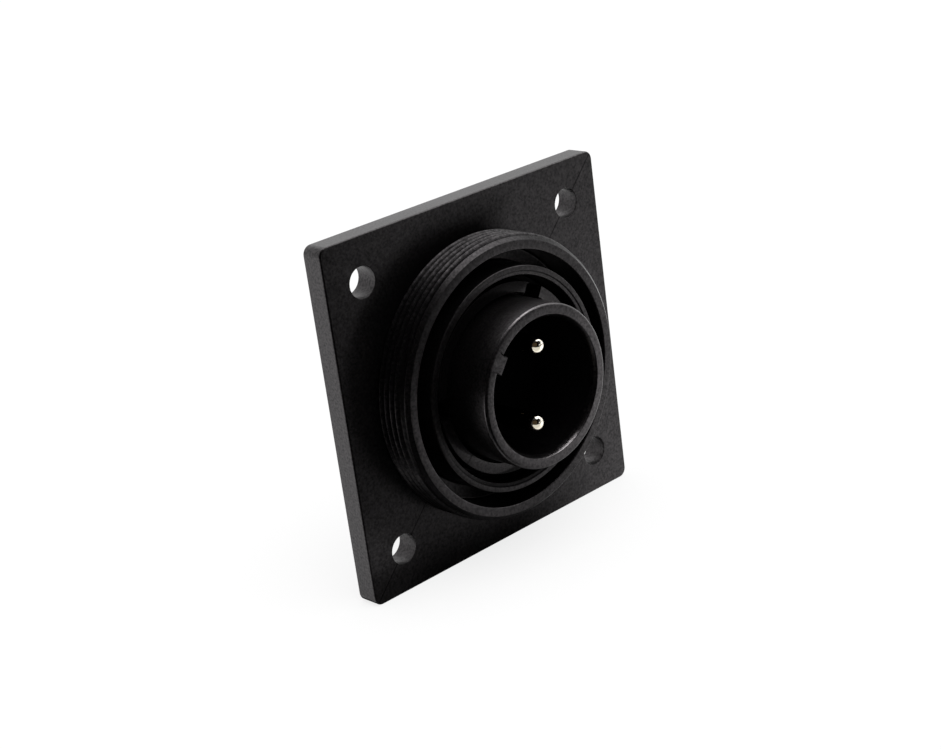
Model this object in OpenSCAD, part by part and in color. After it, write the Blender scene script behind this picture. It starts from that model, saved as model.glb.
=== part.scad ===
// Panel receptacle of a screw-coupled circular connector: a square flange with two round pins.
// Each piece is drawn about the connector's axis, panel face at height zero and mating side up,
// and is then laid over so that the axis is level and the mating side faces -Y.

/* [Flange] */
// Side of the square flange
flange_side = 40; // [38:0.5:50]
// Thickness of the flange
flange_t = 2.75; // [2.3:0.05:4]
// Radius of the flange's four upright corners
flange_corner_r = 1; // [0.6:0.1:2.4]
// Rounding along the flange's front and back edges
flange_ease = 0.2; // [0.1:0.05:0.4]
// Distance between neighbouring fixing holes
hole_pitch = 30.2; // [28:0.1:32]
// Diameter of each fixing hole
hole_d = 3.4; // [2.4:0.1:4.4]
// Width of the chamfer round both mouths of a fixing hole
hole_chamfer = 0.12; // [0.05:0.01:0.3]

/* [Contact carrier] */
// Outside diameter of the tube that surrounds the pins
tube_od = 18; // [16.5:0.1:20]
// Wall of the tube
tube_wall = 1.5; // [0.9:0.05:2]
// Height of the tube's rim above the flange's front
tube_h = 9.25; // [7.5:0.05:12]
// Rounding of the rim's outer edge
tube_ease = 0.35; // [0.1:0.05:0.5]
// Width of the lead-in bevel inside the rim
tube_lead_w = 0.35; // [0.1:0.05:0.5]
// Depth of the lead-in bevel
tube_lead_h = 0.6; // [0.3:0.1:1.5]
// Width of the key rib inside the tube
key_w = 2; // [1.4:0.1:3]
// How far the key rib stands in from the tube's wall
key_depth = 0.45; // [0.3:0.05:1.5]
// Direction of the key rib, anticlockwise from the right seen from the front
key_angle = 143; // [120:1:170]
// Thickness of the shoulder that rests on the flange body's seat
shoulder_t = 1.6; // [1.2:0.1:2.2]
// Thickness of the floor that the contacts stand in
floor_t = 3.6; // [2.8:0.1:4.5]
// Wall of the skirt behind the floor
skirt_wall = 1.4; // [1:0.1:1.8]
// How far the skirt ends short of the barrel behind the flange
skirt_recess = 0.3; // [0.1:0.1:0.8]
// Width of the locating rib along the outside of the skirt
locating_w = 2; // [1.4:0.1:3]
// Height of the locating rib
locating_h = 0.7; // [0.4:0.1:0.7]

/* [Pin contacts] */
// Diameter of a pin
pin_d = 2; // [1.4:0.1:2.3]
// Distance between the two pins
pin_spacing = 8.55; // [7:0.05:9.5]
// Direction of the upper pin, anticlockwise from the right seen from the front
pin_angle = 80.6; // [70:0.2:95]
// How far the pin tips stay behind the tube's rim
pin_recess = 0.85; // [0.2:0.05:2]
// Rounding of a pin's nose
pin_nose_r = 0.94; // [0.4:0.02:0.96]
// Diameter of the neck that carries the pin through the carrier's floor
neck_d = 2.6; // [2.4:0.1:2.9]
// Diameter of the collar that holds a contact in the carrier
contact_collar_d = 3.5; // [3.1:0.1:4]
// Thickness of the collar
contact_collar_t = 1.2; // [0.8:0.1:1.8]
// Diameter of the solder cup and of the shank that leads to it
cup_d = 2.6; // [2.2:0.1:2.8]
// Length of the solder cup behind the rear insulator
cup_len = 5; // [3.5:0.1:5.5]
// Diameter of the solder cup's bore
cup_bore_d = 1.8; // [1.2:0.1:2]
// Depth of the solder cup's bore
cup_bore_depth = 4; // [3:0.1:4.6]
// Length of the open side of the solder cup
cup_cut_len = 2.6; // [1.5:0.1:2.9]
// Height of the open side's edges above the cup's axis
cup_cut_rise = 0.3; // [0:0.05:0.6]

/* [Retaining ring] */
// Clear space between the tube and the ring
ring_gap = 0.3; // [0.2:0.05:0.8]
// Wall of the ring's standing collar
ring_wall = 1.35; // [0.9:0.05:1.8]
// Height of the ring's front above the flange's front
ring_h = 3.8; // [2.6:0.05:4.4]
// Thickness of the ring's foot
ring_foot_t = 1.8; // [1.2:0.1:2.4]
// Number of notches in the standing collar
ring_notches = 3; // [2:1:6]
// Width of a notch
ring_notch_w = 2.3; // [1.5:0.1:3]
// Depth of a notch
ring_notch_depth = 1.7; // [1:0.1:2]
// Direction of the first notch, anticlockwise from the right seen from the front
ring_notch_angle = 60.5; // [50:0.5:70]

/* [Collars] */
// Clear space between the retaining ring's standing collar and the inner collar
inner_gap = 0.75; // [0.5:0.05:1.2]
// Wall of the inner collar
inner_wall = 1.05; // [0.9:0.05:1.6]
// Height of the inner collar above the flange's front
inner_h = 4.7; // [4:0.05:6]
// Width of the step inside the inner collar's front
inner_step_w = 0.45; // [0.2:0.05:0.55]
// Depth of that step
inner_step_depth = 0.12; // [0.08:0.02:0.8]
// Width of the channel between the two collars
channel_w = 1.7; // [1.2:0.05:2.4]
// Wall of the outer collar, up to the root of its coupling thread
collar_wall = 1.3; // [1:0.05:1.8]
// Height of the outer collar above the flange's front
collar_h = 4.5; // [4:0.05:6]
// Distance from one ridge of the coupling thread to the next
thread_pitch = 0.82; // [0.6:0.02:1.2]
// How far the thread's ridges stand out from its root
thread_depth = 0.4; // [0.2:0.02:0.5]
// Width of a ridge along its crest
thread_crest_w = 0.24; // [0.1:0.02:0.5]
// Height of the lip's plain land between the thread and its bevel
lip_land = 0.15; // [0.1:0.05:0.6]
// How far the lip stands out from the thread's root
lip_proud = 0.1; // [0.05:0.05:0.4]
// Size of the bevel at the lip's front edge
lip_bevel = 0.4; // [0.1:0.05:0.6]
// Rounding of the collars' other edges
collar_ease = 0.12; // [0.05:0.01:0.2]

/* [Body behind the flange] */
// Height of the carrier's seat above the panel face
seat_h = 1; // [0.6:0.1:1.6]
// Wall of the barrel behind the flange
barrel_wall = 2.1; // [1.6:0.1:2.6]
// Length of the barrel behind the panel face
barrel_len = 6.5; // [6:0.1:9]
// Rounding of the barrel's end
barrel_ease = 0.4; // [0.1:0.1:0.8]
// Thickness of the rear insulator
rear_t = 4.2; // [3.4:0.1:4.4]
// How far the rear insulator's snap bead stands out
bead_h = 0.25; // [0.15:0.05:0.4]
// Half the width of the snap bead
bead_half_w = 0.5; // [0.3:0.05:0.8]

/* [Seals] */
// Thickness of the round seal under the carrier's shoulder
carrier_seal_d = 0.9; // [0.6:0.05:0.9]
// Width of the panel seal, pressed flat by the panel
panel_seal_w = 1.75; // [1.2:0.05:2.2]
// Depth of the panel seal, pressed flat by the panel
panel_seal_t = 1.3; // [0.9:0.05:1.5]
// Width of the land between the barrel and the panel seal's groove
panel_land = 1.2; // [0.8:0.1:1.6]

/* [Fits] */
// Clearance between moulded pieces that slide together, on each side
slide_fit = 0.1; // [0.05:0.01:0.15]
// Clearance round the contacts, on each side
pin_fit = 0.05; // [0.03:0.01:0.1]
// Clearance beside each seal in its groove
seal_fit = 0.12; // [0.08:0.01:0.18]

/* [Hidden] */
$fn = 96;
FILLET_STEPS = 4;
EDGE_SHARE = 0.96;
NOSE_FLAT_R = 0.04;
CUT = 1;
BLACK_NYLON = [0.06, 0.06, 0.065];
BLACK_RUBBER = [0.11, 0.11, 0.115];
PLATED_BRASS = [0.78, 0.77, 0.73];

// Radii from the axis outward
tube_r = tube_od / 2;
tube_bore_r = tube_r - tube_wall;
skirt_bore_r = tube_r - skirt_wall;
skirt_mid_r = tube_r - skirt_wall / 2;
barrel_bore_r = tube_r + slide_fit;
barrel_r = barrel_bore_r + barrel_wall;
ring_in_r = tube_r + ring_gap;
ring_out_r = ring_in_r + ring_wall;
inner_in_r = ring_out_r + inner_gap;
inner_out_r = inner_in_r + inner_wall;
channel_out_r = inner_out_r + channel_w;
thread_root_r = channel_out_r + collar_wall;
thread_crest_r = thread_root_r + thread_depth;
plate_bore_r = channel_out_r + collar_wall / 2;
lip_r = thread_root_r + lip_proud;
pocket_fill_r = inner_in_r - slide_fit;
locating_r = tube_r + locating_h;
carrier_seal_in_r = locating_r + 2 * slide_fit;
carrier_seal_mid_r = carrier_seal_in_r + seal_fit + carrier_seal_d / 2;
panel_groove_in_r = barrel_r + panel_land;
panel_groove_out_r = panel_groove_in_r + panel_seal_w + 2 * seal_fit;
pin_r = pin_d / 2;
neck_r = neck_d / 2;
nose_r = min(pin_nose_r, pin_r - NOSE_FLAT_R);
cup_r = cup_d / 2;
contact_collar_r = contact_collar_d / 2;

// Heights above the panel face
collar_top = flange_t + collar_h;
inner_top = flange_t + inner_h;
ring_top = flange_t + ring_h;
tube_top = flange_t + tube_h;
pin_tip = tube_top - pin_recess;
lip_bottom = collar_top - lip_bevel - lip_land;
shoulder_top = seat_h + shoulder_t;
floor_back = shoulder_top - floor_t;
contact_collar_top = floor_back + contact_collar_t;
rear_face = floor_back - rear_t;
cup_end = rear_face - cup_len;
skirt_end = skirt_recess - barrel_len;
bead_mid = floor_back - rear_t / 2;

// Height of a thread ridge's flank, and how many ridges fill the collar below the lip
thread_flank = (thread_pitch - thread_crest_w) / 2;
thread_ridges = ceil((lip_bottom - flange_t) / thread_pitch);

// Unit vector along v
function unit(v) = v / norm(v);

// Turn from direction a to direction b, in degrees between -180 and 180
function turn(a, b) = atan2(a[0] * b[1] - a[1] * b[0], a * b);

// How much of the edge from b to its neighbour a the rounding of b may take:
// all but a little of it, shared with a where that corner is rounded too
function room(a, b) = EDGE_SHARE * norm([a[0] - b[0], a[1] - b[1]]) / (a[2] > 0 ? 2 : 1);

// The points that round the corner b, between its neighbours a and c, by the radius b[2]
function corner(a, b, c) =
    let (
        at = [b[0], b[1]],
        to_a = [a[0], a[1]] - at,
        to_c = [c[0], c[1]] - at,
        half = abs(turn(to_a, to_c)) / 2,
        run = min(b[2] / tan(half), room(a, b), room(c, b)),
        r = run * tan(half),
        mid = at + unit(unit(to_a) + unit(to_c)) * r / sin(half),
        from = at + unit(to_a) * run - mid,
        sweep = turn(from, at + unit(to_c) * run - mid)
    )
    b[2] <= 0 ? [at] : [
        for (i = [0 : FILLET_STEPS])
            let (angle = sweep * i / FILLET_STEPS)
            mid + [
                from[0] * cos(angle) - from[1] * sin(angle),
                from[0] * sin(angle) + from[1] * cos(angle)
            ]
    ];

// A closed outline of [x, y, corner radius] points, with its corners rounded
function eased(path) = [
    for (i = [0 : len(path) - 1])
        each corner(path[(i + len(path) - 1) % len(path)], path[i], path[(i + 1) % len(path)])
];

// Lays a piece over: what points up on the bench faces -Y
module laid_over() {
    rotate([90, 0, 0]) children();
}

// A solid of revolution from an outline of [radius, height, corner radius] points
module turned(path) {
    rotate_extrude() polygon(eased(path));
}

// A round hole from one height to another
module drilled(r, from, to) {
    translate([0, 0, from]) cylinder(r = r, h = to - from);
}

// A straight bar of a given length along X whose long edges are eased
module eased_bar(length, width) {
    outline = [
        [-width / 2, 0, flange_ease],
        [width / 2, 0, flange_ease],
        [width / 2, flange_t, flange_ease],
        [-width / 2, flange_t, flange_ease]
    ];
    rotate([90, 0, 90]) linear_extrude(length, center = true) polygon(eased(outline));
}

// The square plate: two crossed bars, with a turned post in each corner
module flange_plate() {
    inset = flange_side - 2 * flange_corner_r;
    post = [
        [0, 0, 0],
        [flange_corner_r, 0, flange_ease],
        [flange_corner_r, flange_t, flange_ease],
        [0, flange_t, 0]
    ];
    eased_bar(inset, flange_side);
    rotate([0, 0, 90]) eased_bar(inset, flange_side);
    at_corners(inset) turned(post);
}

// Copies of a shape at the corners of a square
module at_corners(pitch) {
    for (x = [-1, 1], y = [-1, 1]) {
        translate([x * pitch / 2, y * pitch / 2, 0]) children();
    }
}

// Both collars, the channel between them, the carrier's seat and the barrel, as one turned outline
module collars_and_barrel() {
    turned([
        [barrel_bore_r, -barrel_len, collar_ease],
        [barrel_r, -barrel_len, barrel_ease],
        [barrel_r, 0, 0],
        [thread_root_r, 0, 0],
        each ridges(),
        [thread_root_r, lip_bottom, 0],
        [lip_r, lip_bottom, 0],
        [lip_r, collar_top - lip_bevel, 0],
        [lip_r - lip_bevel, collar_top, 0],
        [channel_out_r, collar_top, collar_ease],
        [channel_out_r, flange_t, 0],
        [inner_out_r, flange_t, 0],
        [inner_out_r, inner_top, collar_ease],
        [inner_in_r + inner_step_w, inner_top, collar_ease],
        [inner_in_r + inner_step_w, inner_top - inner_step_depth, 0],
        [inner_in_r, inner_top - inner_step_depth, collar_ease],
        [inner_in_r, seat_h, 0],
        [barrel_bore_r, seat_h, 0]
    ]);
}

// The coupling thread as closed rings of its section, from the lip down into the flange
function ridges() = [
    for (i = [thread_ridges : -1 : 1])
        let (foot = lip_bottom - i * thread_pitch)
        each [
            [thread_root_r, foot, 0],
            [thread_crest_r, foot + thread_flank, 0],
            [thread_crest_r, foot + thread_flank + thread_crest_w, 0]
        ]
];

// A fixing hole with a chamfer at both mouths
module fixing_hole() {
    r = hole_d / 2;
    wide_r = r + 2 * hole_chamfer;
    drilled(r, -CUT, flange_t + CUT);
    translate([0, 0, flange_t - hole_chamfer]) cylinder(r1 = r, r2 = wide_r, h = 2 * hole_chamfer);
    translate([0, 0, -hole_chamfer]) cylinder(r1 = wide_r, r2 = r, h = 2 * hole_chamfer);
}

// A plain ring-shaped space between two radii and two heights
module ring_space(in_r, out_r, from, to) {
    turned([[in_r, from, 0], [out_r, from, 0], [out_r, to, 0], [in_r, to, 0]]);
}

// The locating rib's bar along the barrel, grown on each side by a clearance
module locating_bar(grow, from, to) {
    rotate([0, 0, key_angle])
        translate([skirt_mid_r, -locating_w / 2 - grow, from])
            cube([locating_r + grow - skirt_mid_r, locating_w + 2 * grow, to - from]);
}

// The moulded body: flange, threaded collar, inner collar and rear barrel in one piece
module flange_body() {
    color(BLACK_NYLON) laid_over() difference() {
        union() {
            difference() {
                flange_plate();
                drilled(plate_bore_r, -CUT, flange_t + CUT);
            }
            collars_and_barrel();
        }
        at_corners(hole_pitch) fixing_hole();
        ring_space(panel_groove_in_r, panel_groove_out_r, -CUT, panel_seal_t);
        ring_space(carrier_seal_in_r, carrier_seal_in_r + carrier_seal_d + 2 * seal_fit,
            seat_h - carrier_seal_d, seat_h + CUT);
        locating_bar(slide_fit, -barrel_len - CUT, seat_h + CUT);
    }
}

// The tube's outline with its shoulder, floor and rear skirt
module carrier_shell() {
    bead_groove_r = skirt_bore_r + bead_h;
    turned([
        [0, floor_back, 0],
        [skirt_bore_r, floor_back, 0],
        [skirt_bore_r, bead_mid + bead_half_w + slide_fit, 0],
        [bead_groove_r, bead_mid, 0],
        [skirt_bore_r, bead_mid - bead_half_w - slide_fit, 0],
        [skirt_bore_r, skirt_end, collar_ease],
        [tube_r, skirt_end, collar_ease],
        [tube_r, seat_h, 0],
        [pocket_fill_r, seat_h, 0],
        [pocket_fill_r, shoulder_top, collar_ease],
        [tube_r, shoulder_top, 0],
        [tube_r, tube_top, tube_ease],
        [tube_bore_r + tube_lead_w, tube_top, collar_ease],
        [tube_bore_r, tube_top - tube_lead_h, 0],
        [tube_bore_r, shoulder_top, 0],
        [0, shoulder_top, 0]
    ]);
}

// The rib inside the tube that keys the mating half, level with the rim
module key_rib() {
    rotate([0, 0, key_angle])
        translate([tube_bore_r - key_depth, -key_w / 2, shoulder_top - CUT])
            cube([key_depth + tube_wall / 2, key_w, tube_top - shoulder_top + CUT]);
}

// Moves a shape to a contact's place: side 1 is the upper one, side -1 the lower
module at_contact(side) {
    rotate([0, 0, pin_angle]) translate([side * pin_spacing / 2, 0, 0]) children();
}

// The insulating carrier: tube with its key rib, floor with two stepped contact holes, rear skirt
module contact_carrier() {
    color(BLACK_NYLON) laid_over() difference() {
        union() {
            carrier_shell();
            key_rib();
            locating_bar(0, skirt_end, seat_h);
        }
        for (side = [1, -1]) {
            at_contact(side) drilled(neck_r + pin_fit, floor_back - CUT, shoulder_top + CUT);
            at_contact(side) drilled(contact_collar_r + pin_fit, floor_back - CUT, contact_collar_top);
        }
    }
}

// The ring that holds the carrier's shoulder down, notched for a pin spanner
module retaining_ring() {
    foot_top = shoulder_top + ring_foot_t;
    color(BLACK_NYLON) laid_over() difference() {
        turned([
            [ring_in_r, shoulder_top, 0],
            [pocket_fill_r, shoulder_top, collar_ease],
            [pocket_fill_r, foot_top, collar_ease],
            [ring_out_r, foot_top, 0],
            [ring_out_r, ring_top, collar_ease],
            [ring_in_r, ring_top, collar_ease]
        ]);
        for (i = [0 : ring_notches - 1]) {
            rotate([0, 0, ring_notch_angle + i * 360 / ring_notches])
                translate([tube_r, -ring_notch_w / 2, ring_top - ring_notch_depth])
                    cube([inner_in_r - tube_r, ring_notch_w, ring_notch_depth + CUT]);
        }
    }
}

// A turned contact: round-nosed pin, holding collar, shank and open-sided solder cup
module pin_contact(side) {
    color(PLATED_BRASS) laid_over() at_contact(side) difference() {
        turned([
            [0, cup_end, 0],
            [cup_r, cup_end, collar_ease],
            [cup_r, floor_back, 0],
            [contact_collar_r, floor_back, collar_ease],
            [contact_collar_r, contact_collar_top, collar_ease],
            [neck_r, contact_collar_top, 0],
            [neck_r, shoulder_top, collar_ease],
            [pin_r, shoulder_top, 0],
            [pin_r, pin_tip - nose_r, 0],
            each nose_arc(),
            [0, pin_tip, 0]
        ]);
        drilled(cup_bore_d / 2, cup_end - CUT, cup_end + cup_bore_depth);
        rotate([0, 0, -pin_angle])
            translate([-cup_d, cup_cut_rise, cup_end - CUT])
                cube([2 * cup_d, cup_d, cup_cut_len + CUT]);
    }
}

// The quarter round of a pin's nose, from its side to the small flat at its tip
function nose_arc() =
    let (steps = 2 * FILLET_STEPS)
    [
        for (i = [1 : steps])
            let (angle = 90 * i / steps)
            [pin_r - nose_r + nose_r * cos(angle), pin_tip - nose_r + nose_r * sin(angle), 0]
    ];

module pin_contact_upper() {
    pin_contact(1);
}

module pin_contact_lower() {
    pin_contact(-1);
}

// The rear half of the insulator, which traps both contact collars and snaps into the skirt
module rear_insulator() {
    fill_r = skirt_bore_r - slide_fit;
    color(BLACK_NYLON) laid_over() difference() {
        turned([
            [0, rear_face, 0],
            [fill_r, rear_face, collar_ease],
            [fill_r, bead_mid - bead_half_w, 0],
            [fill_r + bead_h, bead_mid, 0],
            [fill_r, bead_mid + bead_half_w, 0],
            [fill_r, floor_back, 0],
            [0, floor_back, 0]
        ]);
        for (side = [1, -1]) {
            at_contact(side) drilled(cup_r + pin_fit, rear_face - CUT, floor_back + CUT);
        }
    }
}

// The round seal in the seat, under the carrier's shoulder
module carrier_seal() {
    color(BLACK_RUBBER) laid_over()
        rotate_extrude()
            translate([carrier_seal_mid_r, seat_h - carrier_seal_d / 2])
                circle(d = carrier_seal_d);
}

// The seal in the flange's back, level with the panel face
module panel_seal() {
    in_r = panel_groove_in_r + seal_fit;
    out_r = in_r + panel_seal_w;
    ease = panel_seal_t / 3;
    color(BLACK_RUBBER) laid_over()
        turned([[in_r, 0, ease], [out_r, 0, ease], [out_r, panel_seal_t, ease], [in_r, panel_seal_t, ease]]);
}

flange_body();
contact_carrier();
retaining_ring();
pin_contact_upper();
pin_contact_lower();
rear_insulator();
carrier_seal();
panel_seal();
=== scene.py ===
import functools
import math

import bmesh
import bpy
import numpy as np
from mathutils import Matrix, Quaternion, Vector


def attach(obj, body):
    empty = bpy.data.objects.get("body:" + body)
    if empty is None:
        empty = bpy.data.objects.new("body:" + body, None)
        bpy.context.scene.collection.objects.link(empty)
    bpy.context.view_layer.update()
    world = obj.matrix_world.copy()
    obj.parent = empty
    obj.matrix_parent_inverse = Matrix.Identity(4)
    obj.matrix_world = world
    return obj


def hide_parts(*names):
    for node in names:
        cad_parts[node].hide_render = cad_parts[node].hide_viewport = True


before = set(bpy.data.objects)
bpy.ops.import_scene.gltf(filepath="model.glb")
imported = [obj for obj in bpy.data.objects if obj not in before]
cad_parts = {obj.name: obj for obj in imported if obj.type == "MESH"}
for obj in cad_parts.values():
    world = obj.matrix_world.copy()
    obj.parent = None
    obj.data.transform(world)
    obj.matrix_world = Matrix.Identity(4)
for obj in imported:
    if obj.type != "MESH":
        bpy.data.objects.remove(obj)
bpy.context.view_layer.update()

# Sizes in millimetres about the connector's axis: x to the right, y up, z out towards the mating side.
TAU = 2 * math.pi
MM = 0.001
EASE = 0.12  # the usual rounding of an edge
FAR = 9.0  # a point far along an edge, which is cut off again
JOIN = 2e-7  # points closer than this, in metres, are one
SHARP = math.radians(32)  # edges that turn more than this stay crisp

# How many points: round the axis, along a side of a flange corner, up the thread, across a filled face, along
# a chord, and across a notch and between two of them.
AROUND = 256
EDGE_POINTS = 9
THREAD_ROWS = 84
FILL_ROWS = 3
CHORD_POINTS = 41
RING_COLUMNS = (10, 76)
CUP_COLUMNS = (32, 48)

# The square flange. Its faces are filled as a plus with arms of half width INNER, SPLIT columns from the middle
# of a side, and as a square in each corner round its hole.
SIDE = 40.0
PLATE_T = 2.75
CORNER_R = 1.0
PLATE_EASE = 0.2
HOLE_OFF = 15.1
HOLE_R = 1.7
HOLE_EASE = 0.06
FLAT = SIDE / 2 - PLATE_EASE
SPLIT = 21
INNER = FLAT * math.tan(TAU * SPLIT / AROUND)

# The collars, the carrier seal's groove, the barrel and the panel seal's groove
ROOT_R = 15.45
LIP_R = 15.55
LIP_BOTTOM = 6.7
COLLAR_TOP = 7.25
LIP_BEVEL = 0.4
LIP_EASE = 0.05
BEVEL_EASE = 0.08
CHANNEL_OUT = 14.15
CHANNEL_FILLET = 0.2
INNER_OUT = 12.45
INNER_IN = 11.4
INNER_TOP = 7.45
STEP_W = 0.45
STEP_R = INNER_IN + STEP_W
STEP_DEPTH = 0.12
STEP_EASE = 0.06
STEP_FILLET = 0.03
SEAT = 1.0
SEAL_IN = 9.9
SEAL_OUT = 11.04
SEAL_D = 0.9
BORE_R = 9.1
BARREL_R = 11.2
BARREL_END = -6.5
BARREL_EASE = 0.4
GROOVE_IN = 12.4
GROOVE_OUT = 14.39
GROOVE_T = 1.3

# The coupling thread: how high above the flange its last turn starts, in direction 0, the part of that turn at
# which it ends, and how softly it runs out there, in turns, and at the flange and the lip
PITCH = 0.82
THREAD_DEPTH = 0.4
THREAD_LAST = 3.278
THREAD_END = 158 / 360
THREAD_FULLNESS = 0.8
RUN_OUT = 0.05
FOOT_SOFT = 0.12
LIP_SOFT = 0.15

# The insulating carrier
KEY = math.radians(143)
KEY_REACH = 7.05
KEY_W = 2.0
KEY_EASE = 0.1
KEY_MARGIN = 0.05
KEY_STEPS = 4
TUBE_R = 9.0
TUBE_TOP = 12.0
TUBE_EASE = 0.35
TUBE_FILLET = 0.1
TUBE_BORE = 7.5
LEAD_W = 0.35
LEAD_H = 0.6
SHOULDER_R = 11.3
SHOULDER_TOP = 2.6
RIB_REACH = 9.7
RIB_W = 2.0
SLIDE = 0.1
SKIRT_BORE = 7.6
SKIRT_END = -6.2
BEAD_MID = -3.1
BEAD_HALF = 0.6
BEAD_H = 0.25
FLOOR_BACK = -1.0
FLOOR_R = 5.95

# The notched ring, with the direction of its weld line in degrees
RING_IN = 9.3
RING_OUT = 10.65
RING_TOP = 6.55
RING_FOOT = 4.4
RING_FILLET = 0.1
NOTCH_W = 2.3
NOTCH_FLOOR = 4.85
NOTCH_AT = math.radians(60.5)
WELD_AT = 222.3

# The contacts
PIN_AT = math.radians(80.6)
PIN_OFF = 4.275
PIN_R = 1.0
PIN_TIP = 11.15
NOSE_R = 0.94
NOSE_STEPS = 10
NECK_R = 1.3
COLLAR_R = 1.75
COLLAR_UP = 0.2
CUP_R = 1.3
CUP_END = -10.2
CUP_EASE = 0.05
CUP_BORE = 0.9
CUP_BOTTOM = -6.2
CUP_CUT = -7.6
CUT_RISE = 0.3
PIN_FIT = 0.05


# ---- surfaces

def unit(v):
    """Vectors divided by their lengths."""
    return v / np.maximum(np.linalg.norm(v, axis=-1, keepdims=True), 1e-12)


def smooth(x):
    """0 up to 0, 1 from 1 on, and an even S between."""
    x = np.clip(x, 0, 1)
    return x * x * (3 - 2 * x)


def polar(r, angle):
    """Flat points at distance r from the axis in direction angle."""
    return np.stack(np.broadcast_arrays(r * np.cos(angle), r * np.sin(angle)), -1)


def turn(points, angle):
    """Flat points turned about the axis."""
    x, y = points[..., 0], points[..., 1]
    c, s = math.cos(angle), math.sin(angle)
    return np.stack([x * c - y * s, x * s + y * c], -1)


def raised(flat, z):
    """Flat points lifted to height z."""
    return np.concatenate([flat, np.broadcast_to(z, flat.shape[:-1])[..., None]], -1)


def eased(path, steps=8):
    """An outline whose corners [a, b, r] become arcs of radius r that touch both of their edges."""
    p = np.array(path, float)
    at, r = p[:, :2], p[:, 2:]
    to_last = unit(np.roll(at, 1, 0) - at)
    to_next = unit(np.roll(at, -1, 0) - at)
    half = np.arccos(np.clip((to_last * to_next).sum(1, keepdims=True), -1, 1)) / 2
    half = np.maximum(half, 1e-6)
    mid = at + unit(to_last + to_next) * r / np.sin(half)
    start = at + to_last * r / np.tan(half) - mid
    end = at + to_next * r / np.tan(half) - mid
    cross = start[:, :1] * end[:, 1:] - start[:, 1:] * end[:, :1]
    angle = np.arctan2(cross, (start * end).sum(1, keepdims=True)) * np.linspace(0, 1, steps + 1)
    x = mid[:, :1] + start[:, :1] * np.cos(angle) - start[:, 1:] * np.sin(angle)
    y = mid[:, 1:] + start[:, :1] * np.sin(angle) + start[:, 1:] * np.cos(angle)
    points = np.stack([x, y], -1).reshape(-1, 2)
    apart = np.linalg.norm(np.diff(points, axis=0), axis=1) > 1e-9
    return points[np.r_[True, apart]]


def turned(outline, angle):
    """A surface of revolution: each outline point (r, z) is carried round through the angles."""
    return raised(polar(outline[:, :1], angle), outline[:, 1:])


def between(a, b):
    """A ruled surface: straight lines from each point of one loop to the same point of another."""
    t = np.linspace(0, 1, FILL_ROWS)[:, None, None]
    return a + (b - a) * t


def keyed(r, reach, width):
    """A circle with one key: at direction 0 it steps to a flat at distance reach between parallel sides."""
    foot = math.sqrt(r * r - width * width / 4)
    past = math.asin(width / 2 / r) + KEY_MARGIN
    side = eased([
        [reach, 0, 0], [reach, width / 2, KEY_EASE], [foot, width / 2, KEY_EASE],
        [r * math.cos(past), r * math.sin(past), 0]], KEY_STEPS)
    rest = np.linspace(past, math.pi, AROUND // 2 + 2 - len(side))[1:]
    half = np.concatenate([side, polar(r, rest)])
    return np.concatenate([half, half[-2:0:-1] * (1, -1)])


def notched(outline, edges, cut, columns):
    """A surface of revolution with notches. edges(r) gives the directions of the notches' sides at radius r,
    from a start to its end by turns; inside a notch every height goes through cut()."""
    r, z = outline[:, :1], outline[:, 1:]
    sides = edges(r)
    sides = np.concatenate([sides, sides[:, :1] + TAU], 1)
    count = np.resize(columns, sides.shape[1] - 1)
    part = np.repeat(np.arange(len(count)), count)
    share = np.concatenate([np.linspace(0, 1, n) for n in count])
    angle = sides[:, part] + (sides[:, part + 1] - sides[:, part]) * share
    return raised(polar(r, angle), np.where(part % 2 == 0, cut(z), z))


def thread(angle, rise):
    """How far the coupling thread stands out at a direction and a height above the flange: one right-handed
    ridge of rounded section that climbs a pitch a turn, starts in the flange and runs out near the lip."""
    turns = angle / TAU
    steps = (rise - THREAD_LAST) / PITCH - turns
    nearest = np.rint(steps)
    ridge = (0.5 + 0.5 * np.cos(TAU * (steps - nearest))) ** THREAD_FULLNESS
    run_out = smooth((THREAD_END - turns - nearest) / RUN_OUT)
    ends = smooth(rise / FOOT_SOFT) * smooth((LIP_BOTTOM - PLATE_T - rise) / LIP_SOFT)
    return THREAD_DEPTH * ridge * run_out * ends


def linked(name, data):
    """A new object in the scene."""
    made = bpy.data.objects.new(name, data)
    bpy.context.scene.collection.objects.link(made)
    return made


def piece(name, grids, material, slot, *nodes):
    """One closed mesh that stands for CAD nodes. Each grid of points becomes quads whose columns run round,
    and the edges that grids share are welded."""
    first = np.cumsum([0] + [g.shape[0] * g.shape[1] for g in grids])
    quads = []
    for grid, start in zip(grids, first):
        here = start + np.arange(grid.shape[0] * grid.shape[1]).reshape(grid.shape[:2])
        beside = np.roll(here, -1, 1)
        quads.append(np.stack([here[:-1], beside[:-1], beside[1:], here[1:]], -1).reshape(-1, 4))
    p = np.concatenate([g.reshape(-1, 3) for g in grids]) * MM
    mesh = bpy.data.meshes.new(name)
    mesh.from_pydata(np.stack([p[:, 0], -p[:, 2], p[:, 1]], -1).tolist(), [], np.concatenate(quads).tolist())
    work = bmesh.new()
    work.from_mesh(mesh)
    bmesh.ops.remove_doubles(work, verts=work.verts, dist=JOIN)
    bmesh.ops.dissolve_degenerate(work, edges=work.edges, dist=JOIN)
    bmesh.ops.recalc_face_normals(work, faces=work.faces)
    work.to_mesh(mesh)
    work.free()
    mesh.shade_smooth()
    mesh.set_sharp_from_angle(angle=SHARP)
    mesh.materials.append(material)
    made = linked(name, mesh)
    made.modifiers.new("even_normals", "WEIGHTED_NORMAL").keep_sharp = True
    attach(made, "root")
    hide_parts(*nodes)


# ---- the moulded body

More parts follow.
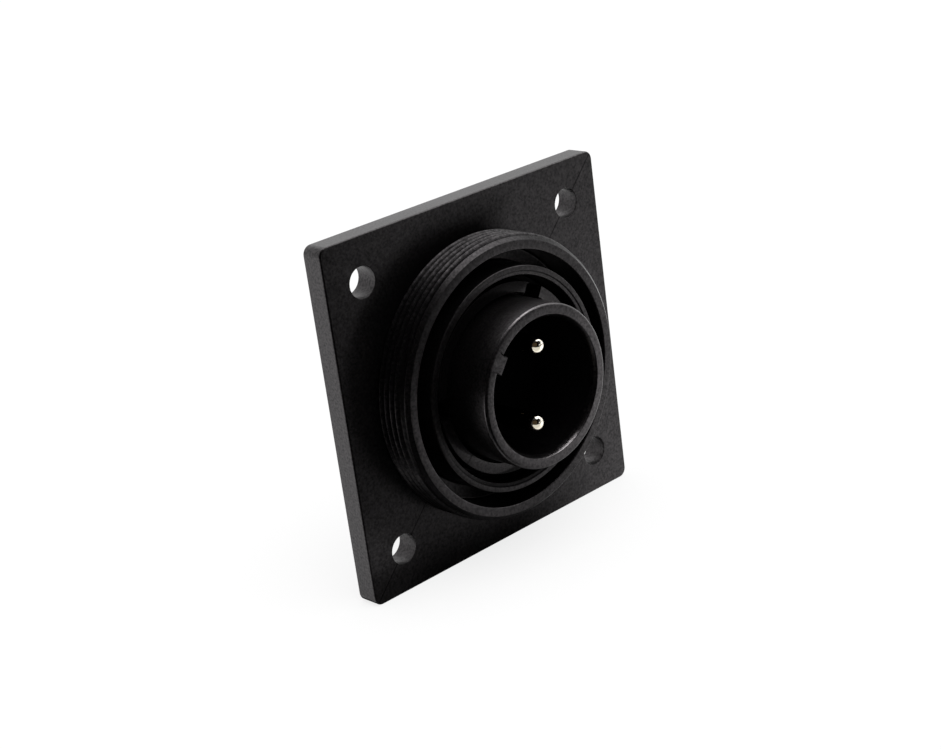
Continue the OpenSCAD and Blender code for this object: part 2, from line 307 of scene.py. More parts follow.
def flange_body_grids():
    """The square plate, filled from the collar out to its edge and to each hole, with the collars, the thread
    and the barrel as a surface of revolution."""
    around = TAU * np.arange(AROUND) / AROUND

    def plus_edge(angle):
        c, s = np.abs(np.cos(angle)), np.abs(np.sin(angle))
        return np.minimum(FLAT / np.maximum(c, s), INNER / np.maximum(np.minimum(c, s), 1e-9))

    corner_mid = FLAT + PLATE_EASE - CORNER_R
    straight = np.linspace(INNER, corner_mid, EDGE_POINTS)
    arc = np.linspace(0, TAU / 4, EDGE_POINTS)[1:-1]
    level = np.full_like(straight, FLAT)
    outside = np.concatenate([
        np.stack([level, straight], -1),
        corner_mid + polar(CORNER_R - PLATE_EASE, arc),
        np.stack([level, straight[::-1]], -1)[:, ::-1]])
    outward = np.concatenate([
        np.tile((1.0, 0.0), (EDGE_POINTS, 1)), polar(1.0, arc), np.tile((0.0, 1.0), (EDGE_POINTS, 1))])
    inside_at = TAU * np.arange(SPLIT, AROUND // 4 - SPLIT + 1) / AROUND
    inside = polar(plus_edge(inside_at), inside_at)
    corner = np.concatenate([outside, inside[::-1][1:-1]])
    side_at = TAU * np.arange(1 - SPLIT, SPLIT) / AROUND
    side = np.stack([np.full_like(side_at, FLAT), FLAT * np.tan(side_at)], -1)
    quarter = np.concatenate([side, outside])
    quarter_out = np.concatenate([np.tile((1.0, 0.0), (len(side), 1)), outward])
    rim = np.concatenate([turn(quarter, k * TAU / 4) for k in range(4)])
    rim_out = np.concatenate([turn(quarter_out, k * TAU / 4) for k in range(4)])
    edge = eased([
        [-FAR, PLATE_T, 0], [PLATE_EASE, PLATE_T, PLATE_EASE], [PLATE_EASE, 0, PLATE_EASE], [-FAR, 0, 0]])[1:-1]
    grids = [raised(rim + rim_out * edge[:, :1, None], edge[:, 1:])]

    hole = np.array([HOLE_OFF, HOLE_OFF])
    spoke = unit(corner - hole)
    wall = eased([
        [FAR, PLATE_T, 0], [HOLE_R, PLATE_T, HOLE_EASE], [HOLE_R, 0, HOLE_EASE], [FAR, 0, 0]])[1:-1]
    mouth = hole + spoke * wall[0, 0]
    for k in range(4):
        angle = k * TAU / 4
        grids += [raised(turn(between(corner, mouth), angle), z) for z in (PLATE_T, 0.0)]
        grids.append(raised(turn(hole + spoke * wall[:, :1, None], angle), wall[:, 1:]))
    full = polar(plus_edge(around), around)
    grids.append(raised(between(polar(ROOT_R, around), full), PLATE_T))
    grids.append(raised(between(polar(GROOVE_OUT, around), full), 0.0))

    rise = np.linspace(0, LIP_BOTTOM - PLATE_T, THREAD_ROWS)[:, None]
    grids.append(raised(polar(ROOT_R + thread(around, rise), around), PLATE_T + rise))
    front = eased([
        [ROOT_R, LIP_BOTTOM, 0], [LIP_R, LIP_BOTTOM, LIP_EASE], [LIP_R, COLLAR_TOP - LIP_BEVEL, LIP_EASE],
        [LIP_R - LIP_BEVEL, COLLAR_TOP, BEVEL_EASE], [CHANNEL_OUT, COLLAR_TOP, EASE],
        [CHANNEL_OUT, PLATE_T, CHANNEL_FILLET], [INNER_OUT, PLATE_T, CHANNEL_FILLET],
        [INNER_OUT, INNER_TOP, EASE], [STEP_R, INNER_TOP, STEP_EASE],
        [STEP_R, INNER_TOP - STEP_DEPTH, STEP_FILLET],
        [INNER_IN, INNER_TOP - STEP_DEPTH, EASE], [INNER_IN, SEAT, 0], [SEAL_OUT, SEAT, 0],
        [SEAL_OUT, SEAT - SEAL_D, 0], [SEAL_IN, SEAT - SEAL_D, 0], [SEAL_IN, SEAT, 0]])
    back = eased([
        [BORE_R, BARREL_END, 0], [BARREL_R, BARREL_END, BARREL_EASE], [BARREL_R, 0, 0], [GROOVE_IN, 0, 0],
        [GROOVE_IN, GROOVE_T, 0], [GROOVE_OUT, GROOVE_T, 0], [GROOVE_OUT, 0, 0]])[1:]
    shift = round(KEY / TAU * AROUND)

    def keyway(grow, z):
        loop = turn(keyed(BORE_R + grow, RIB_REACH + SLIDE + grow, RIB_W + 2 * (SLIDE + grow)), KEY)
        return raised(np.roll(loop, shift, 0), z)[None]

    mouth_ease = eased([[0, FAR, 0], [0, BARREL_END, EASE], [FAR, BARREL_END, 0]])[1:-1]
    grids.append(np.concatenate([
        turned(front, around), keyway(0, SEAT),
        *[keyway(grow, z) for grow, z in mouth_ease], turned(back, around)]))
    return grids


# ---- the insulating carrier

def contact_holes(z, r):
    """Both halves of a flat disc, each filled by straight lines from its D-shaped edge to its contact hole,
    after the hole's middle and the lines' directions."""
    arc = polar(FLOOR_R, np.linspace(-TAU / 4, TAU / 4, AROUND // 2 + 1))
    line = np.linspace(FLOOR_R, -FLOOR_R, CHORD_POINTS)[1:-1]
    loop = np.concatenate([arc, np.stack([np.zeros_like(line), line], -1)])
    hole = np.array([PIN_OFF, 0.0])
    spoke = unit(loop - hole)
    return hole, spoke, [
        raised(turn(between(loop, hole + spoke * r), PIN_AT + k * TAU / 2), z) for k in range(2)]


def contact_carrier_grids():
    """The tube with its key rib, the shoulder and the skirt as one loft of rings, with a pierced floor."""
    around = KEY + TAU * np.arange(AROUND) / AROUND
    start = PIN_AT - TAU / 4
    shift = round((start - KEY) / TAU * AROUND)
    disc = polar(FLOOR_R, start + TAU * (np.arange(AROUND) - shift) / AROUND)

    def bore(grow, z):
        ease = max(0.0, grow - LEAD_W)
        return raised(turn(keyed(TUBE_BORE + grow, KEY_REACH + ease, KEY_W - 2 * ease), KEY), z)[None]

    def skirt(shrink, z):
        return raised(turn(keyed(TUBE_R - shrink, RIB_REACH - shrink, RIB_W - 2 * shrink), KEY), z)[None]

    mouth = eased([[0, TUBE_TOP - LEAD_H, 0], [LEAD_W, TUBE_TOP, EASE], [FAR, TUBE_TOP, 0]])[:-1]
    outside = eased([
        [TUBE_BORE, TUBE_TOP, 0], [TUBE_R, TUBE_TOP, TUBE_EASE], [TUBE_R, SHOULDER_TOP, TUBE_FILLET],
        [SHOULDER_R, SHOULDER_TOP, EASE], [SHOULDER_R, SEAT, 0]])[1:]
    foot = eased([[0, FAR, 0], [0, SKIRT_END, EASE], [FAR, SKIRT_END, 0]])[1:-1]
    inside = eased([
        [TUBE_R, SKIRT_END, 0], [SKIRT_BORE, SKIRT_END, EASE], [SKIRT_BORE, BEAD_MID - BEAD_HALF, 0],
        [SKIRT_BORE + BEAD_H, BEAD_MID, 0], [SKIRT_BORE, BEAD_MID + BEAD_HALF, 0],
        [SKIRT_BORE, FLOOR_BACK, 0]])[1:]
    rings = np.concatenate([
        raised(disc, SHOULDER_TOP)[None], bore(0, SHOULDER_TOP), *[bore(grow, z) for grow, z in mouth],
        turned(outside, around), skirt(0, SEAT), *[skirt(shrink, z) for shrink, z in foot],
        turned(inside, around), raised(disc, FLOOR_BACK)[None]])
    neck, well = NECK_R + PIN_FIT, COLLAR_R + PIN_FIT
    hole, spoke, front = contact_holes(SHOULDER_TOP, neck)
    *_, rear = contact_holes(FLOOR_BACK, well)
    wall = np.array([[neck, SHOULDER_TOP], [neck, COLLAR_UP], [well, COLLAR_UP], [well, FLOOR_BACK]])
    walls = [
        raised(turn(hole + spoke * wall[:, :1, None], PIN_AT + k * TAU / 2), wall[:, 1:]) for k in range(2)]
    return [rings, *front, *rear, *walls]


# ---- the ring and the contacts

def retaining_ring_grids():
    """The notched ring: a standing collar on a foot, turned, with three slots across the collar."""
    outline = eased([
        [RING_IN, SHOULDER_TOP, 0], [SHOULDER_R, SHOULDER_TOP, EASE], [SHOULDER_R, RING_FOOT, EASE],
        [RING_OUT, RING_FOOT, RING_FILLET], [RING_OUT, RING_TOP, EASE], [RING_IN, RING_TOP, EASE]])
    outline = np.concatenate([outline, outline[:1]])
    middle = NOTCH_AT + TAU / 3 * np.repeat(np.arange(3), 2)
    sign = np.tile((-1, 1), 3)

    def edges(r):
        return middle + sign * np.arcsin(NOTCH_W / 2 / r)

    return [notched(outline, edges, lambda z: np.minimum(z, NOTCH_FLOOR), RING_COLUMNS)]


def pin_contact_grids(side):
    """A turned contact: round-nosed pin, neck, holding collar and a solder cup with an open side."""
    outline = eased([
        [0, PIN_TIP, 0], [PIN_R, PIN_TIP, NOSE_R], [PIN_R, SHOULDER_TOP, 0], [NECK_R, SHOULDER_TOP, EASE],
        [NECK_R, COLLAR_UP, 0], [COLLAR_R, COLLAR_UP, EASE], [COLLAR_R, FLOOR_BACK, EASE],
        [CUP_R, FLOOR_BACK, 0], [CUP_R, CUP_END, EASE], [CUP_BORE, CUP_END, CUP_EASE],
        [CUP_BORE, CUP_BOTTOM, 0], [0, CUP_BOTTOM, 0]], NOSE_STEPS)

    def edges(r):
        lean = np.arcsin(CUT_RISE / np.maximum(r, CUP_BORE))
        return np.concatenate([lean, TAU / 2 - lean], 1)

    grid = notched(outline, edges, lambda z: np.maximum(z, CUP_CUT), CUP_COLUMNS)
    grid[..., :2] += polar(side * PIN_OFF, PIN_AT)
    return [grid]


# ---- materials

# Features of the noises to the metre, the part of the fleck noise that shows, how uneven it makes the gloss, and
# the depth of the grain in metres
PLASTIC_GRAIN = 4200.0
PLATE_GRAIN = 5000.0
RUBBER_GRAIN = 4000.0
PATCHES = 140.0
BEADS = 2700.0
FLECKS = 3800.0
FLECK_RANGE = (0.3, 0.7)
UNEVEN = 0.45
GRAIN_DEPTH = 0.00003

# Colours, most of them from a dark to a light one
NYLON = ((0.0008, 0.0007, 0.0008, 1), (0.0018, 0.0016, 0.0017, 1))
NYLON_SHEEN = (1.0, 0.93, 0.96, 1)
NICKEL = ((0.74, 0.69, 0.6, 1), (0.86, 0.83, 0.76, 1))
# The dark colour of the painted shade on the contacts' shafts
SHAFT_SHADE_COLOUR = (0.05, 0.04, 0.03, 1)
RUBBER_BLACK = ((0.006, 0.006, 0.006, 1), (0.014, 0.014, 0.014, 1))
WHITE = (1, 1, 1, 1)

# The shades tell a surface from its neighbours by this margin beside it, in millimetres.
BESIDE = 0.05


def node(tree, kind, inputs=None, **settings):
    """A shader node with its settings and its inputs, each a value or the socket that feeds it."""
    made = tree.nodes.new(kind)
    for key, value in settings.items():
        setattr(made, key, value)
    for key, value in (inputs or {}).items():
        if isinstance(value, bpy.types.NodeSocket):
            tree.links.new(value, made.inputs[key])
        else:
            made.inputs[key].default_value = value
    return made


def calc(tree, operation, *values):
    """One step of arithmetic on numbers and sockets."""
    return node(tree, "ShaderNodeMath", dict(enumerate(values)), operation=operation).outputs[0]


def product(tree, *values):
    """All the values multiplied."""
    return functools.reduce(lambda a, b: calc(tree, "MULTIPLY", a, b), values)


def where(tree, value, *places):
    """The value where all the places hold, and 1 elsewhere."""
    return calc(tree, "MULTIPLY_ADD", calc(tree, "SUBTRACT", value, 1.0), product(tree, *places), 1.0)


def ramp(tree, value, start, end, low, high):
    """low up to start, high from end on, and a straight slope between."""
    return node(tree, "ShaderNodeMapRange", {
        "Value": value, "From Min": start, "From Max": end, "To Min": low, "To Max": high}).outputs["Result"]


def mixed(tree, share, first, second):
    """A colour between the first at 0 and the second at 1, each a colour or the socket that feeds it."""
    return node(tree, "ShaderNodeMix", {0: share, 6: first, 7: second}, data_type="RGBA").outputs[2]


def noise(tree, scale, detail=3.0, roughness=0.5):
    """Noise about a point's place on its object, in features to the metre."""
    at = node(tree, "ShaderNodeTexCoord").outputs["Object"]
    return node(tree, "ShaderNodeTexNoise", {
        "Vector": at, "Scale": scale, "Detail": detail, "Roughness": roughness}).outputs["Fac"]


def measured(tree):
    """A point's x, y and z in millimetres, as for the sizes, and its distance r from the axis."""
    at = node(tree, "ShaderNodeTexCoord").outputs["Object"]
    kind = "ShaderNodeVectorMath"
    place = node(tree, kind, {0: at, 1: (1 / MM, -1 / MM, 1 / MM)}, operation="MULTIPLY").outputs["Vector"]
    flat = node(tree, kind, {0: place, 1: (1.0, 0.0, 1.0)}, operation="MULTIPLY").outputs["Vector"]
    r = node(tree, kind, {0: flat}, operation="LENGTH").outputs["Value"]
    split = node(tree, "ShaderNodeSeparateXYZ", {"Vector": place}).outputs
    return split["X"], split["Z"], split["Y"], r


def along(tree, x, y, direction):
    """How far a point lies from the axis in a direction in degrees."""
    angle = math.radians(direction)
    return calc(tree, "MULTIPLY_ADD", x, math.cos(angle), calc(tree, "MULTIPLY", y, math.sin(angle)))


def slope(tree, x, y, direction, start, end, low, high):
    """A slope across the connector in a direction: low up to start, high from end on."""
    return ramp(tree, along(tree, x, y, direction), start, end, low, high)


def near(tree, value, middle, inner, outer, low):
    """low up to inner from the middle, and 1 from outer on."""
    return ramp(tree, calc(tree, "ABSOLUTE", calc(tree, "SUBTRACT", value, middle)), inner, outer, low, 1.0)


def grain_group():
    """Spark-eroded mould skin: fine grain as a normal, and patches of gloss and tone as values."""
    tree = bpy.data.node_groups.new("mould_skin", "ShaderNodeTree")
    for name, way, kind in (
            ("Grain", "INPUT", "Float"), ("Relief", "INPUT", "Float"),
            ("Normal", "OUTPUT", "Vector"), ("Gloss", "OUTPUT", "Float"), ("Tone", "OUTPUT", "Float")):
        tree.interface.new_socket(name, in_out=way, socket_type="NodeSocket" + kind)
    given = tree.nodes.new("NodeGroupInput").outputs
    bump = node(tree, "ShaderNodeBump", {
        "Height": noise(tree, given["Grain"], roughness=0.6), "Strength": given["Relief"],
        "Distance": GRAIN_DEPTH})
    node(tree, "NodeGroupOutput", {
        "Normal": bump.outputs["Normal"], "Gloss": noise(tree, PATCHES),
        "Tone": ramp(tree, noise(tree, FLECKS), *FLECK_RANGE, 0.0, 1.0)})
    return tree


def skinned(tree, grain, relief):
    """The outputs of the mould skin, with so many grains to the metre and a share of its relief."""
    return node(tree, "ShaderNodeGroup", {"Grain": grain, "Relief": relief}, node_tree=SKIN).outputs


def new_material(name):
    """An empty material and its node tree."""
    material = bpy.data.materials.new(name)
    material.use_nodes = True
    material.node_tree.nodes.clear()
    return material, material.node_tree


def finished(tree, inputs):
    """The Principled shader and the output at the end of a material."""
    shader = node(tree, "ShaderNodeBsdfPrincipled", inputs)
    node(tree, "ShaderNodeOutputMaterial", {"Surface": shader.outputs["BSDF"]})


def body_flow_line_and_painted_light(tree):
    """How glossy the body looks: dull along the flow line across the flange, a real mark; the rest is painted
    light: a painted shadow on the flange above and to the left of the collar, painted shade between the thread's
    ridges, in the channel, in the corner of the inner collar's step and inside that collar, and painted
    reflection and shade, uneven round the lip and its bevel."""
    x, y, z, r = measured(tree)

    def beyond(radius):
        return calc(tree, "GREATER_THAN", r, radius)

    def within(radius):
        return calc(tree, "LESS_THAN", r, radius)

    def above(height):
        return calc(tree, "GREATER_THAN", z, height)

    def below(height):
        return calc(tree, "LESS_THAN", z, height)

    # The flange: the flow line across it, a real mark, and a painted shadow of the collar, which fades away from
    # the collar and to both sides
    flow = near(tree, calc(tree, "SUBTRACT", x, y), 0.0, 0.08, 0.16, 0.35)
    facing = calc(tree, "DIVIDE", along(tree, x, y, 110), r)
    painted_collar_shadow = calc(
        tree, "MAXIMUM", ramp(tree, r, 16.5, 20.5, 0.06, 1.0), ramp(tree, facing, 0.74, 0.92, 1.0, 0.0))
    # The thread: painted shade between its ridges, less of it low down, beaded crests, and painted shade at the
    # lower left and at the top
    painted_groove_shade = calc(
        tree, "MAXIMUM", ramp(tree, r, 15.5, 15.75, 0.12, 1.0), ramp(tree, y, -6.0, 2.0, 0.8, 0.12))
    ridge = product(
        tree, painted_groove_shade, ramp(tree, noise(tree, BEADS, 1.0), 0.35, 0.65, 0.6, 1.4),
        slope(tree, x, y, 220, 15.0, 15.6, 1.0, 0.2), slope(tree, x, y, 85, 13.5, 15.5, 1.0, 0.6))
    # The inner collar: painted shade in its step's corner, and on its rim low down
    corner_r = STEP_R - 0.01
    corner = near(tree, r, corner_r, 0.04, 0.1, 0.25)
    inner_rim = ramp(tree, y, -10.2, -4.5, 0.22, 1.0)
    # The lip, with painted reflection at the lower left and painted shade at the upper left, and its bevel, with
    # painted shade at the lower left and the upper right and painted reflection below
    lip = product(
        tree, slope(tree, x, y, 212, 8.0, 14.6, 1.1, 2.2), slope(tree, x, y, 130, 11.5, 14.6, 1.0, 0.5))
    bevel_r = LIP_R - LIP_BEVEL + 0.01
    bevel = product(
        tree, slope(tree, x, y, 212, 13.6, 14.6, 1.0, 0.12), slope(tree, x, y, 50, 10.2, 14.2, 1.0, 0.3),
        slope(tree, x, y, 285, 12.0, 15.0, 1.0, 1.2))
    # The channel: painted shade growing from left to right, less of it above
    channel = calc(
        tree, "MAXIMUM", ramp(tree, x, -7.5, -4.0, 1.0, 0.15), ramp(tree, y, -2.0, 2.0, 0.0, 0.5))
    rims = COLLAR_TOP - 0.25
    return product(
        tree, where(tree, flow, below(PLATE_T + 2 * BESIDE)),
        where(tree, painted_collar_shadow, beyond(ROOT_R - BESIDE), below(PLATE_T + 2 * BESIDE), above(PLATE_T - BESIDE)),
        where(tree, ridge, beyond(ROOT_R - BESIDE), above(PLATE_T + 0.04), below(LIP_BOTTOM - BESIDE)),
        where(tree, corner, above(rims)),
        where(tree, inner_rim, within(corner_r), above(rims)),
        where(tree, lip, beyond(CHANNEL_OUT - BESIDE), within(bevel_r), above(COLLAR_TOP - 0.15)),
        where(tree, bevel, beyond(bevel_r), above(COLLAR_TOP - LIP_BEVEL - BESIDE)),
        where(tree, channel, beyond(INNER_OUT + 0.02), within(CHANNEL_OUT + BESIDE), below(rims),
              above(PLATE_T - BESIDE)),
        # Painted shade inside the inner collar
        ramp(tree, r, INNER_IN + 0.01, INNER_IN + BESIDE, 0.3, 1.0))


def carrier_painted_light(tree):
    """How glossy the carrier looks, all of it painted light: painted shade on the wall of the tube's bore,
    behind its lead-in, painted reflection growing up the tube's side, on the rim painted reflection below and to
    the right, and a painted highlight on the lead-in at the lower right."""
    x, y, z, r = measured(tree)
    outside = calc(tree, "GREATER_THAN", r, TUBE_BORE + 0.06)
    wall = calc(tree, "MAXIMUM", ramp(tree, z, TUBE_TOP - 0.8, TUBE_TOP - 0.55, 0.1, 1.0), outside)
    rim = calc(
        tree, "MAXIMUM", ramp(tree, y, 1.0, 4.0, 1.45, 1.0), slope(tree, x, y, 121, 1.0, 3.4, 1.4, 1.0))
    front = calc(tree, "GREATER_THAN", z, TUBE_TOP - 0.4)
    side = where(
        tree, ramp(tree, z, 8.8, 11.3, 0.5, 2.0), calc(tree, "GREATER_THAN", r, TUBE_R - 0.3),
        calc(tree, "SUBTRACT", 1.0, front))
    facing = calc(tree, "DIVIDE", along(tree, x, y, 289), r)
    painted_highlight = where(
        tree, ramp(tree, facing, 0.972, 0.986, 0.4, 1.4), calc(tree, "LESS_THAN", r, TUBE_BORE + 0.25),
        calc(tree, "LESS_THAN", y, -5.0))
    return product(tree, wall, side, painted_highlight, where(tree, rim, outside, front))


def ring_weld_and_painted_shade(tree):
    """How glossy the ring looks: dull along the fine weld line across it, a real mark, and painted shade at its
    upper left, along its lower edge and on its foot."""
    x, y, _, r = measured(tree)
    weld = near(tree, along(tree, x, y, WELD_AT - 90), 0.0, 0.04, 0.1, 0.3)
    edge = ramp(tree, calc(tree, "MULTIPLY_ADD", x, 0.175, r), 9.7, 9.9, 1.0, 0.2)
    return product(
        tree, where(tree, weld, calc(tree, "LESS_THAN", x, 0.0)),
        where(tree, edge, calc(tree, "LESS_THAN", y, 0.0)),
        slope(tree, x, y, 110, 6.2, 7.8, 1.0, 0.18),
        ramp(tree, r, RING_OUT + BESIDE, RING_OUT + 2 * BESIDE, 1.0, 0.15))


def black_plastic(name, rough, relief, level, shade):
    """Black moulded nylon: near-black, with a satin grain, and gloss in each place set by its shade, mostly
    painted light.
    """
    material, tree = new_material(name)
    skin = skinned(tree, PLASTIC_GRAIN, relief)
    fleck = ramp(tree, noise(tree, FLECKS), *FLECK_RANGE, level * (1 - UNEVEN), level * (1 + UNEVEN))
    finished(tree, {
        "Base Color": mixed(tree, skin["Tone"], *NYLON),
        "Roughness": ramp(tree, skin["Gloss"], 0.0, 1.0, *rough),
        "Normal": skin["Normal"],
        "Specular IOR Level": product(tree, fleck, shade(tree)),
        "Specular Tint": NYLON_SHEEN,
    })
    return material


def plated_metal(name, rough, relief):
    """Bright plate on turned brass: a fine grain, a faint warm tint, and painted shade darkening the shaft
    behind the nose."""
    material, tree = new_material(name)
    skin = skinned(tree, PLATE_GRAIN, relief)
    z = measured(tree)[2]
    # Painted shade on the shaft between the nose and the carrier
    painted_shaft_shade = product(
        tree, ramp(tree, z, 9.8, 10.2, 1.0, 0.0),
        ramp(tree, z, SHOULDER_TOP + 0.1, SHOULDER_TOP + 0.4, 0.0, 1.0))
    plate = mixed(tree, skin["Gloss"], *NICKEL)
    finished(tree, {
        "Base Color": mixed(tree, painted_shaft_shade, plate, SHAFT_SHADE_COLOUR),
        "Roughness": ramp(tree, skin["Tone"], 0.0, 1.0, *rough),
        "Metallic": 1.0,
        "Normal": skin["Normal"],
    })
    return material


def rubber(name, rough, relief):
    """Matt black sealing rubber."""
    material, tree = new_material(name)
    skin = skinned(tree, RUBBER_GRAIN, relief)
    finished(tree, {
        "Base Color": mixed(tree, skin["Tone"], *RUBBER_BLACK),
        "Roughness": ramp(tree, skin["Gloss"], 0.0, 1.0, *rough),
        "Normal": skin["Normal"],
    })
    return material


SKIN = grain_group()
BODY = black_plastic("body_plastic", rough=(0.26, 0.36), relief=0.35, level=0.5, shade=body_flow_line_and_painted_light)
CARRIER = black_plastic("carrier_plastic", rough=(0.27, 0.35), relief=0.3, level=0.65, shade=carrier_painted_light)
RING = black_plastic("ring_plastic", rough=(0.16, 0.22), relief=0.2, level=0.5, shade=ring_weld_and_painted_shade)
METAL = plated_metal("contact_metal", rough=(0.03, 0.07), relief=0.03)
RUBBER = rubber("seal_rubber", rough=(0.7, 0.85), relief=0.5)

piece("body_moulding", flange_body_grids(), BODY, "body_plastic", "flange_body")
piece("carrier_moulding", contact_carrier_grids(), CARRIER, "carrier_plastic", "contact_carrier")
piece("notched_ring", retaining_ring_grids(), RING, "ring_plastic", "retaining_ring")
piece("upper_pin", pin_contact_grids(1), METAL, "contact_metal", "pin_contact_upper")
piece("lower_pin", pin_contact_grids(-1), METAL, "contact_metal", "pin_contact_lower")
for name, material in (("rear_insulator", CARRIER), ("carrier_seal", RUBBER), ("panel_seal", RUBBER)):
    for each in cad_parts[name].material_slots:
        each.material = material


# ---- stage, in metres

FLOOR = -0.02
FLOOR_HALF = 3
FLOOR_PALE = 0.8
CARD_LIFT = 0.00004
CARD_START = 0.0028

# How many points the cards have across and up, or round and out
DOME_POINTS = (33, 17)
DISC_POINTS = (49, 9)
FLOOR_POINTS = (301, 101)


def aimed(made, direction):
    """Turns a lamp or a camera to look in a direction."""
    made.rotation_mode = "QUATERNION"
    made.rotation_quaternion = Vector(direction).to_track_quat("-Z", "Y")


def sheet(name, grid, material):
    """A sheet of the stage from a grid of points."""
    rows, columns = grid.shape[:2]
    i = np.arange(rows * columns).reshape(rows, columns)
    quads = np.stack([i[:-1, :-1], i[:-1, 1:], i[1:, 1:], i[1:, :-1]], -1).reshape(-1, 4)
    mesh = bpy.data.meshes.new(name)
    mesh.from_pydata(grid.reshape(-1, 3).tolist(), [], quads.tolist())
    mesh.shade_smooth()
    mesh.materials.append(material)
    made = linked(name, mesh)
    return made


def card(name, grid, level):
    """A studio card that only reflections see, with a level of light for each point of its grid."""
    made = sheet(name, grid, card_material)
    spread = np.broadcast_to(level, grid.shape[:2]).ravel().astype(np.float32)
    made.data.attributes.new("level", "FLOAT", "POINT").data.foreach_set("value", spread)
    made.visible_camera = False
    made.visible_diffuse = False
    made.visible_shadow = False
    made.visible_transmission = False


def dome(radius, left, right, low, high):
    """Part of a sphere about the object, from left to right of the front and from low to high, in degrees."""
    side, up = np.meshgrid(
        np.radians(np.linspace(left, right, DOME_POINTS[0])), np.radians(np.linspace(low, high, DOME_POINTS[1])))
    return radius * np.stack([np.sin(side) * np.cos(up), -np.cos(side) * np.cos(up), np.sin(up)], -1)


def disc(toward, distance, spread):
    """A round card at a distance in a direction, as wide as a cone of the spread's half angle."""
    w = unit(np.array(toward, float))
    u = unit(np.cross(w, (0.0, 1.0, 0.0)))
    angle = np.linspace(0, TAU, DISC_POINTS[0])
    out = distance * math.tan(math.radians(spread)) * np.linspace(0, 1, DISC_POINTS[1])
    flat = polar(out[:, None], angle)
    return w * distance + flat[..., :1] * u + flat[..., 1:] * np.cross(w, u)


def on_floor(x, y, lift):
    """Points just above the floor."""
    return np.stack(np.broadcast_arrays(x, y, FLOOR + lift), -1)


def hump(x, low, high, soft):
    """1 between low and high, falling to 0 over a soft margin inside them."""
    return smooth((x - low) / soft) * smooth((high - x) / soft)


def soft_lamp(name, pieces, place, aim, width, height, level, colour):
    """A soft lamp at a place, turned to its aim, for the named pieces alone."""
    light = bpy.data.lights.new(name, "AREA")
    light.shape = "RECTANGLE"
    light.size, light.size_y = width, height
    light.energy = level * math.pi * width * height
    light.color = colour
    lit_pieces = bpy.data.collections.new(name)
    for each in pieces:
        lit_pieces.objects.link(bpy.data.objects[each])
    made = linked(name, light)
    made.location = place
    aimed(made, Vector(aim) - made.location)
    made.visible_camera = False
    made.light_linking.receiver_collection = lit_pieces


# A pale floor. The camera sees a share of plain white over it, so that the shadows on it stay pale.
floor_material, tree = new_material("pale_floor")
matt = node(tree, "ShaderNodeBsdfPrincipled", {
    "Base Color": (0.88, 0.88, 0.88, 1), "Roughness": 0.9, "Specular IOR Level": 0.0})
seen = node(tree, "ShaderNodeLightPath").outputs["Is Camera Ray"]
white = node(tree, "ShaderNodeEmission", {"Color": WHITE, "Strength": 1.0})
both = node(tree, "ShaderNodeMixShader", {
    0: calc(tree, "MULTIPLY", seen, FLOOR_PALE), 1: matt.outputs[0], 2: white.outputs[0]})
node(tree, "ShaderNodeOutputMaterial", {"Surface": both.outputs[0]})
ends = np.array([-FLOOR_HALF, FLOOR_HALF])
sheet("floor", on_floor(ends, ends[:, None], 0.0), floor_material)

card_material, tree = new_material("studio_card")
glow = node(tree, "ShaderNodeEmission", {
    "Strength": node(tree, "ShaderNodeAttribute", attribute_name="level").outputs["Fac"]})
node(tree, "ShaderNodeOutputMaterial", {"Surface": glow.outputs["Emission"]})

# A painted reflection of the floor as the flange's front shows it, by the distance across and away from the
# flange: brighter to the right, a painted shadow of the object close to the foot, with a broad pale patch to the
# left and a small one near the foot.
across = np.linspace(-0.25, 0.25, FLOOR_POINTS[0])
away = CARD_START + 0.3 * np.linspace(0, 1, FLOOR_POINTS[1])[:, None] ** 2
lean = across - 0.87 * away
rising = np.clip((lean + 0.03) / 0.052, 0, 1) * (1 - 0.4 * smooth((away - 0.03) / 0.06))
foot = 0.97 * smooth((0.018 - away) / 0.014) * hump(lean, -0.031, 0.016, 0.018)
broad = 0.8 * hump(away, 0.028, 0.085, 0.012) * hump(lean, -0.018, 0.004, 0.005)
small = 0.5 * hump(away, 0.0088, 0.02, 0.003) * hump(across, -0.026, -0.006, 0.005)
card("floor_card", on_floor(across, -away, CARD_LIFT), rising * (1 - foot) + broad + small)
# A dark sheet under the flange that only reflections see: a painted shadow under the foot
under = on_floor(np.array([FLOOR, -FLOOR]), np.array([[-CARD_START], [0.0005]]), CARD_LIFT)
card("foot_card", under, 0.03)
for name, radius, left, right, low, high, level in (
        ("camera_side", 0.3, -125, 12, -4, 52, 0.0),
        ("front_right", 0.3, 12, 44, 6, 46, 0.03),
        ("upper_left", 0.31, -140, -6, 50, 80, 0.05),
        ("right_side", 0.32, 30, 75, -4, 22, 0.45)):
    card(name, dome(radius, left, right, low, high), level)
for name, toward, distance, spread, level in (
        ("key_box", (0.52, -0.2, 0.83), 0.36, 31, 2.6),
        ("top_box", (0.28, 0.36, 0.9), 0.37, 18, 3.0)):
    card(name, disc(toward, distance, spread), level)

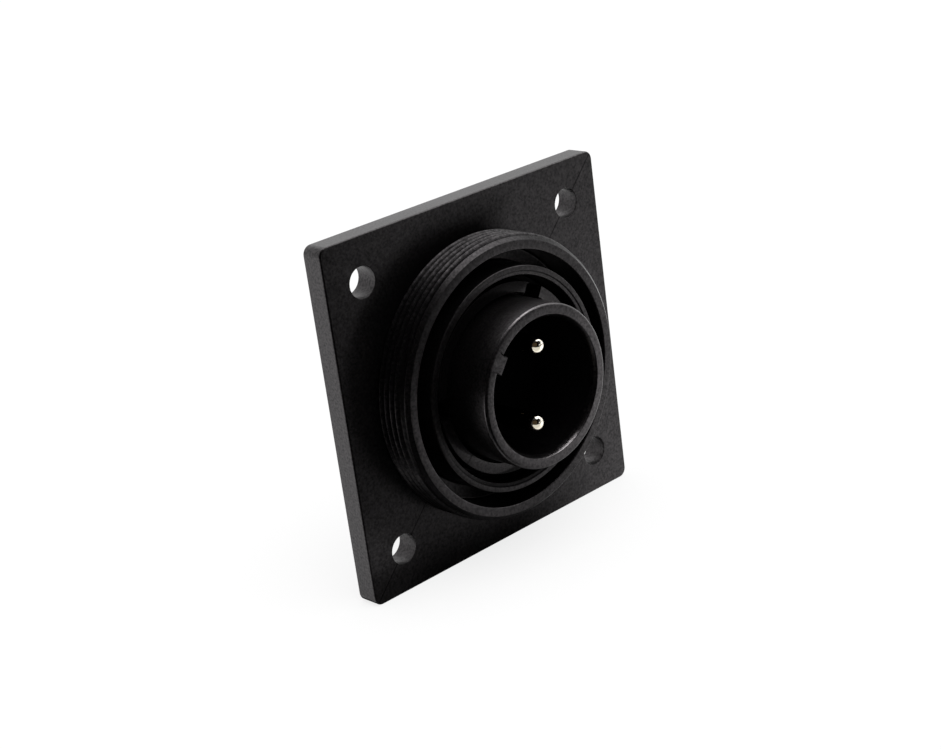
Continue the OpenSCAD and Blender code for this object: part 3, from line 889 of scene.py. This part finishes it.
PINS = ("upper_pin", "lower_pin")
TUBE = ("carrier_moulding",)
MOUTH = (0.0, -0.012, 0.0)
for name, pieces, place, aim, width, height, level, colour in (
        ("pins_low", PINS, (-0.03, -0.052, FLOOR + 0.0008), (-0.03, -0.052, 0.0), 0.24, 0.082, 0.85,
         (1.0, 0.98, 0.9)),
        ("pins_right", PINS, (0.24, -0.14, 0.02), MOUTH, 0.24, 0.14, 0.9, WHITE[:3]),
        ("pins_front", PINS, (-0.155, -0.19, 0.085), MOUTH, 0.32, 0.24, 0.055, (1.0, 0.72, 0.42)),
        ("tube_top", TUBE, (0.1, -0.03, 0.28), MOUTH, 0.17, 0.17, 6.0, WHITE[:3]),
        ("tube_back", TUBE, (0.03, 0.2, 0.2), MOUTH, 0.2, 0.2, 1.5, WHITE[:3])):
    soft_lamp(name, pieces, place, aim, width, height, level, colour)

# A white surround, which lights matt surfaces less than it shows, and a soft key from above
world = bpy.data.worlds.new("studio")
bpy.context.scene.world = world
world.use_nodes = True
tree = world.node_tree
tree.nodes.clear()
path = node(tree, "ShaderNodeLightPath").outputs
seen = calc(
    tree, "MAXIMUM", calc(tree, "MAXIMUM", path["Is Camera Ray"], path["Is Glossy Ray"]),
    path["Is Transmission Ray"])
white = node(tree, "ShaderNodeBackground", {"Color": WHITE, "Strength": 1.0})
fill = node(tree, "ShaderNodeBackground", {"Color": WHITE, "Strength": 0.6})
both = node(tree, "ShaderNodeMixShader", {0: seen, 1: fill.outputs[0], 2: white.outputs[0]})
node(tree, "ShaderNodeOutputWorld", {"Surface": both.outputs[0]})

sun = bpy.data.lights.new("soft_key", "SUN")
sun.energy = 2.4
sun.angle = math.radians(70)
key = linked("soft_key", sun)
aimed(key, (-0.1, 0.25, -0.95))
key.visible_glossy = False

# ---- camera at the photograph's angle: left of the front, above, and tilted a little

AZIMUTH = math.radians(-41.04)
ELEVATION = math.radians(19.93)
ROLL = math.radians(-7.853)
AIM = Vector((-0.002411, -0.002787, 0.000612))
DISTANCE = 0.20215
lens = bpy.data.cameras.new("photo_view")
lens.lens = 71.13
lens.sensor_width = 36.0
lens.clip_start = 0.01
lens.clip_end = 20
camera = linked("photo_view", lens)
level_part = math.cos(ELEVATION)
backward = Vector((math.sin(AZIMUTH) * level_part, -math.cos(AZIMUTH) * level_part, math.sin(ELEVATION)))
camera.location = AIM + backward * DISTANCE
aimed(camera, -backward)
camera.rotation_quaternion = camera.rotation_quaternion @ Quaternion((0, 0, 1), ROLL)
bpy.context.scene.camera = camera
bpy.context.scene.view_settings.view_transform = "Standard"
